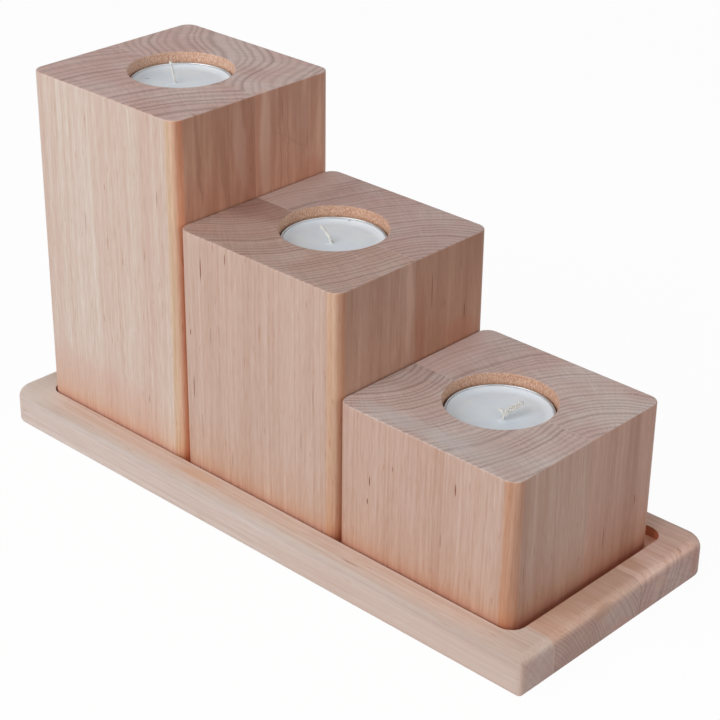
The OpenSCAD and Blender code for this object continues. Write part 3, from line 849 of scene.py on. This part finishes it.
def makeCup(rank, c, material):
    # the section is the inside of the cup, and solidify then gives the foil its thickness outwards
    floorZ = c["seat"] + c["wall"]
    panelZ = floorZ + c["panelLift"]
    baseCentre = (c["wallRadius"] - c["baseRadius"], floorZ + c["baseRadius"])
    beadCentre = (c["wallRadius"] + c["beadRadius"], c["beadTop"] - c["beadRadius"])
    section = [(0, panelZ)]
    section += [(c["stackRadius"] + x, panelZ + z) for x, z in c["stackSection"]]
    section += [(c["panelRadius"] - c["stepWidth"], panelZ), (c["panelRadius"], floorZ)]
    section += arc(baseCentre, c["baseRadius"], -90, 0, c["arcSteps"])
    wallFoot, tall = section[-1][1], beadCentre[1] - section[-1][1]
    for i in range(1, c["wallSteps"]):
        section.append((c["wallRadius"], wallFoot + tall * i / c["wallSteps"]))
    section += arc(beadCentre, c["beadRadius"], *c["beadTurn"], c["beadSteps"])
    bm = spinSection(section, c["steps"])
    shift = Vector((ranks.index(rank) * 50, 0, 0))
    for vert in bm.verts:
        # the free wall wavers a little between the stiff base and the stiff bead
        if vert.co.xy.length > c["wallRadius"] - 0.01:
            share = math.sin(math.pi * min(1, max(0, (vert.co.z - wallFoot) / tall)))
            push = share * c["dent"] * noise.noise(vert.co / c["dentSize"] + shift)
            vert.co += (vert.co.xy.normalized() * push).to_3d()
    bmesh.ops.solidify(bm, geom=bm.faces, thickness=c["wall"])
    finishPiece(rank, "_pressed_cup", bm, material, "_cup")


waxFill = {
    "radius": 18.82,
    "baseRadius": 1.3,
    "baseSteps": 6,
    "floor": 0.92,
    "level": 14.6,
    "climb": 1.15,                  # how far the wax creeps up the wall of the cup
    "climbWidth": 4.0,
    "climbPower": 2.2,
    "ripple": 0.05,                 # unevenness of the top
    "rippleSize": 6.25,
    "rippleEdge": 3.0,              # how far from the wall it is at its full
    "rings": 40,
    "steps": 192,
    "collars": {                    # how far the wax rises round each wick, and how wide
        "tall": (0.25, 0.9), "middle": (0.35, 1.1), "short": (0.6, 1.9),
    },
    "tones": ("#E6F1FF", "#EEF7FF"),
    "cloudSize": 7.7,
    "roughness": (0.3, 0.42),
    "scratchSize": (16.7, 0.667, 16.7),
    "scratchTurn": 0.5,             # radians
    "scratchDepth": 0.02,
    "lightDepth": 1.2,              # how far light goes into the wax
    "speckTone": "#6F7480",
    "speckTurn": 0.7,               # radians
    "specks": (                     # bits of soot: place from the cup's axis, size and strength
        ("tall", -12.7, -6.0, 1.2, 0.7),
        ("tall", -4.3, -4.8, 0.7, 0.35),
        ("middle", -7.8, 16.4, 0.9, 0.8),
    ),
}


def waxMaterial(w):
    # cast paraffin: light goes a little way into it, so it looks milky, and its skin is satin
    material, add = newMaterial("cast_paraffin_wax")
    place = add("TexCoord", output="Object")
    cloud = add("TexNoise", None, {"Vector": place, "Scale": 1 / (w["cloudSize"] * mm), "Detail": 2.0})
    tone = add("ValToRGB", {"stops": toneStops(w["tones"])}, {"Fac": cloud})
    for rank, dx, dy, size, share in w["specks"]:
        x, y, z = cupPlace(rank)
        off = add("Mapping", {"vector_type": "TEXTURE"}, {
            "Vector": place, "Location": [v * mm for v in (x + dx, y + dy, z + w["level"])],
            "Rotation": (0, 0, w["speckTurn"]), "Scale": (size * mm, size * mm / 2, 2 * mm),
        })
        off = add("VectorMath", "LENGTH", (off,), output="Value")
        limits = {**fromLimits((0.3, 1.0)), **toLimits((share, 0.0))}
        mark = add("MapRange", None, {"Value": off, **limits})
        tone = add("Mix", mix, {0: mark, 6: tone, 7: hexColour(w["speckTone"])}, output=2)
    scratch = add("Mapping", None, {
        "Vector": place, "Rotation": (0, 0, w["scratchTurn"]),
        "Scale": [1 / (size * mm) for size in w["scratchSize"]],
    })
    scratch = add("TexNoise", None, {"Vector": scratch, "Scale": 1.0, "Detail": 2.0})
    limits = {**fromLimits((0.3, 0.7)), **toLimits(w["roughness"])}
    rough = add("MapRange", None, {"Value": cloud, **limits})
    bump = add("Bump", None, {"Height": scratch, "Distance": w["scratchDepth"] * mm, "Strength": 0.5})
    shader = add("BsdfPrincipled", None, {
        "Base Color": tone, "Roughness": rough, "Normal": bump, "IOR": 1.44, "Subsurface Weight": 0.4,
        "Subsurface Radius": (1.0, 1.0, 1.0), "Subsurface Scale": w["lightDepth"] * mm,
    })
    add("OutputMaterial", None, {"Surface": shader})
    return material


def makeWax(rank, w, material):
    foot = wickFoot(rank)[1]
    collar, collarWidth = w["collars"][rank]
    inner = w["radius"] - w["baseRadius"]
    section = [(0, w["floor"]), (inner, w["floor"])]
    baseCentre = (inner, w["floor"] + w["baseRadius"])
    section += arc(baseCentre, w["baseRadius"], -90, 0, w["baseSteps"])[1:]
    for i in range(w["rings"] + 1):
        radius = w["radius"] * (1 - i / w["rings"])
        creep = max(0.0, 1 - (w["radius"] - radius) / w["climbWidth"])
        section.append((radius, w["level"] + w["climb"] * creep ** w["climbPower"]))
    bm = spinSection(section, w["steps"])
    shift = Vector((ranks.index(rank) * 50, 7, 0))
    for vert in bm.verts:
        if vert.co.z > w["level"] - 0.01:
            inward = min(1.0, (w["radius"] - vert.co.xy.length) / w["rippleEdge"])
            vert.co.z += w["ripple"] * inward * noise.noise(vert.co / w["rippleSize"] + shift)
            away = (vert.co - foot).xy.length / collarWidth
            vert.co.z += collar * math.exp(-away * away)
    finishPiece(rank, "_cast_wax", bm, material, "_wax")


# Wicks. Out of the wax each bends over by so many degrees, at its own radius and towards its heading,
# and its reach is straight. One leans inside the wax and is folded: thick is then that of both
# runs together, and the second runs back to that point of the path and stands off in an end.
wicks = {
    "tall": {"thick": 1.05, "bendRadius": 5, "bend": 28, "reach": 6.4, "heading": 163},
    "middle": {"thick": 1.3, "bendRadius": 4, "bend": 50, "reach": 4.6, "heading": 186},
    "short": {
        "thick": 2.6, "bendRadius": 3, "bend": 80, "reach": 6.0, "heading": 79, "lean": (0.9, -2.1),
        "fold": {"widths": 2.1, "apart": 0.46, "backTo": 6, "end": (-0.3, 2.0, 1.1)},
    },
}
braid = {
    "strands": 3,
    "pitch": 3.4,
    "helix": 0.24,                  # of the wick's thickness, as are the next two
    "strandRadius": 0.27,
    "wander": 0.12,
    "wanderSize": 2.0,
    "step": 0.25,                   # between the points of a strand
    "bendSteps": 8,
    "tabTop": 0.4,                  # heights above the plate
    "waxRise": 13.6,
    "roundness": 3,
    "tones": ("#E2DFD6", "#F0EEE7"),
    "blotSize": 2.0,
    "threadSize": 0.238,
    "threadDepth": 0.06,
    "roughness": (0.5, 0.8),
    "lightDepth": 0.9,              # how far light goes into the thread
}


def wickFoot(rank):
    # where the plate holds the wick, from the axis of its cup, and where the wick leaves the wax
    low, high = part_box(rank + "_wick_tab")
    cupX, cupY, _ = cupPlace(rank)
    held = Vector(((low.x + high.x) / 2 / mm - cupX, (low.y + high.y) / 2 / mm - cupY, 0))
    return held, held + Vector((*wicks[rank].get("lean", (0, 0)), 0))


def wickPath(w, b, side=0.0):
    # middle line of a wick as distance out, sideways and height above its plate
    bend, radius, rise = math.radians(w["bend"]), w["bendRadius"], b["waxRise"]
    path = [(0, side, b["tabTop"]), (0, side, rise)]
    for i in range(1, b["bendSteps"] + 1):
        t = bend * i / b["bendSteps"]
        path.append((radius * (1 - math.cos(t)), side, rise + radius * math.sin(t)))
    out, _, height = path[-1]
    path.append((out + w["reach"] * math.sin(bend), side, height + w["reach"] * math.cos(bend)))
    return [Vector(p) for p in path]


def foldedPath(w, b, thick):
    # out, round a tight fold and back beside itself, with the cut end standing off its side
    fold = w["fold"]
    side = thick * fold["apart"]
    outward, back = wickPath(w, b, -side), wickPath(w, b, side)
    tip = (outward[-1] + back[-1]) / 2 + (outward[-1] - outward[-2]).normalized() * side
    end = back[fold["backTo"]] + Vector(fold["end"])
    return outward + [tip] + back[:fold["backTo"] - 1:-1] + [end]


def evenly(path, step):
    # the same line with points a step apart
    points = [path[0]]
    for a, b in zip(path, path[1:]):
        count = max(1, round((b - a).length / step))
        points += [a.lerp(b, (i + 1) / count) for i in range(count)]
    return points


def ply(points, thick, b, turn, shift):
    # one strand of the braid: a helix round the wick's line, a little uneven
    run, line = 0.0, []
    for i, point in enumerate(points):
        ahead = (points[min(i + 1, len(points) - 1)] - points[max(i - 1, 0)]).normalized()
        side = Vector((0, 1, 0)) if abs(ahead.y) < 0.9 else Vector((0, 0, 1))
        cross = ahead.cross(side).normalized()
        side = cross.cross(ahead)
        angle = turn + 2 * math.pi * run / b["pitch"]
        wander = noise.noise(point / b["wanderSize"] + shift) * b["wander"]
        out = (b["helix"] + wander) * thick
        line.append(point + cross * out * math.cos(angle) + side * out * math.sin(angle))
        if i < len(points) - 1:
            run += (points[i + 1] - point).length
    return line


def wickMaterial(b):
    # plied cotton, primed with wax: matt off-white threads under a thin skin
    material, add = newMaterial("waxed_cotton")
    place = add("TexCoord", output="Object")
    thread = add("TexNoise", None, {"Vector": place, "Scale": 1 / (b["threadSize"] * mm), "Detail": 3.0})
    blot = add("TexNoise", None, {"Vector": place, "Scale": 1 / (b["blotSize"] * mm), "Detail": 1.0})
    tone = add("ValToRGB", {"stops": toneStops(b["tones"], (0.35, 0.65))}, {"Fac": blot})
    limits = {**fromLimits((0.3, 0.7)), **toLimits(b["roughness"])}
    rough = add("MapRange", None, {"Value": thread, **limits})
    bump = add("Bump", None, {"Height": thread, "Distance": b["threadDepth"] * mm, "Strength": 0.6})
    shader = add("BsdfPrincipled", None, {
        "Base Color": tone, "Roughness": rough, "Normal": bump, "Subsurface Weight": 0.8,
        "Subsurface Radius": (1.0, 0.9, 0.8), "Subsurface Scale": b["lightDepth"] * mm,
    })
    add("OutputMaterial", None, {"Surface": shader})
    return material


def makeWick(rank, w, b, material):
    thick, path = w["thick"], wickPath(w, b)
    if "fold" in w:
        thick = w["thick"] / w["fold"]["widths"]
        path = foldedPath(w, b, thick)
    points = evenly(path, b["step"])
    held, foot = wickFoot(rank)
    cupX, cupY, _ = cupPlace(rank)
    start = Vector((cupX, cupY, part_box(rank + "_wick_tab")[0].z / mm)) + held
    turned = Matrix.Translation(start) @ Matrix.Rotation(math.radians(w["heading"]), 4, "Z")
    data = bpy.data.curves.new(rank + "_braided_wick", "CURVE")
    data.dimensions = "3D"
    data.bevel_depth = thick * b["strandRadius"] * mm
    data.bevel_resolution = b["roundness"]
    data.use_fill_caps = True
    for strand in range(b["strands"]):
        turn = 2 * math.pi * strand / b["strands"]
        line = ply(points, thick, b, turn, Vector((strand * 9, w["heading"], 0)))
        line = line[:len(line) - strand]
        spline = data.splines.new("POLY")
        spline.points.add(len(line) - 1)
        for target, point in zip(spline.points, line):
            # inside the wax the wick leans from the plate to where it comes out
            share = min(1, point.z / b["waxRise"])
            target.co = (*((turned @ point + (foot - held) * share) * mm), 1)
    data.materials.append(material)
    addPiece(rank, bpy.data.objects.new(rank + "_braided_wick", data), "_wick")


tab = {
    "tones": ("#A9ADB1", "#BFC2C5"),
    "bloomSize": 1.67,
    "roughness": (0.28, 0.42),
}


def tabMaterial(t):
    # tinned steel plate: a soft grey mirror with crystal-sized cloudiness
    material, add = newMaterial("tinned_steel")
    place = add("TexCoord", output="Object")
    bloom = add("TexVoronoi", None, {"Vector": place, "Scale": 1 / (t["bloomSize"] * mm)})
    tone = add("ValToRGB", {"stops": toneStops(t["tones"], (0.0, 0.8))}, {"Fac": bloom})
    rough = add("MapRange", None, {"Value": bloom, **toLimits(t["roughness"])})
    looks = {"Base Color": tone, "Metallic": 1.0, "Roughness": rough}
    add("OutputMaterial", None, {"Surface": add("BsdfPrincipled", None, looks)})
    return material


aluminium, paraffin = cupMaterial(cup), waxMaterial(waxFill)
cotton, tinned = wickMaterial(braid), tabMaterial(tab)
for rank in ranks:
    makeCup(rank, cup, aluminium)
    makeWax(rank, waxFill, paraffin)
    makeWick(rank, wicks[rank], braid, cotton)
    dress(rank + "_wick_tab", tinned)
print("tealights made")
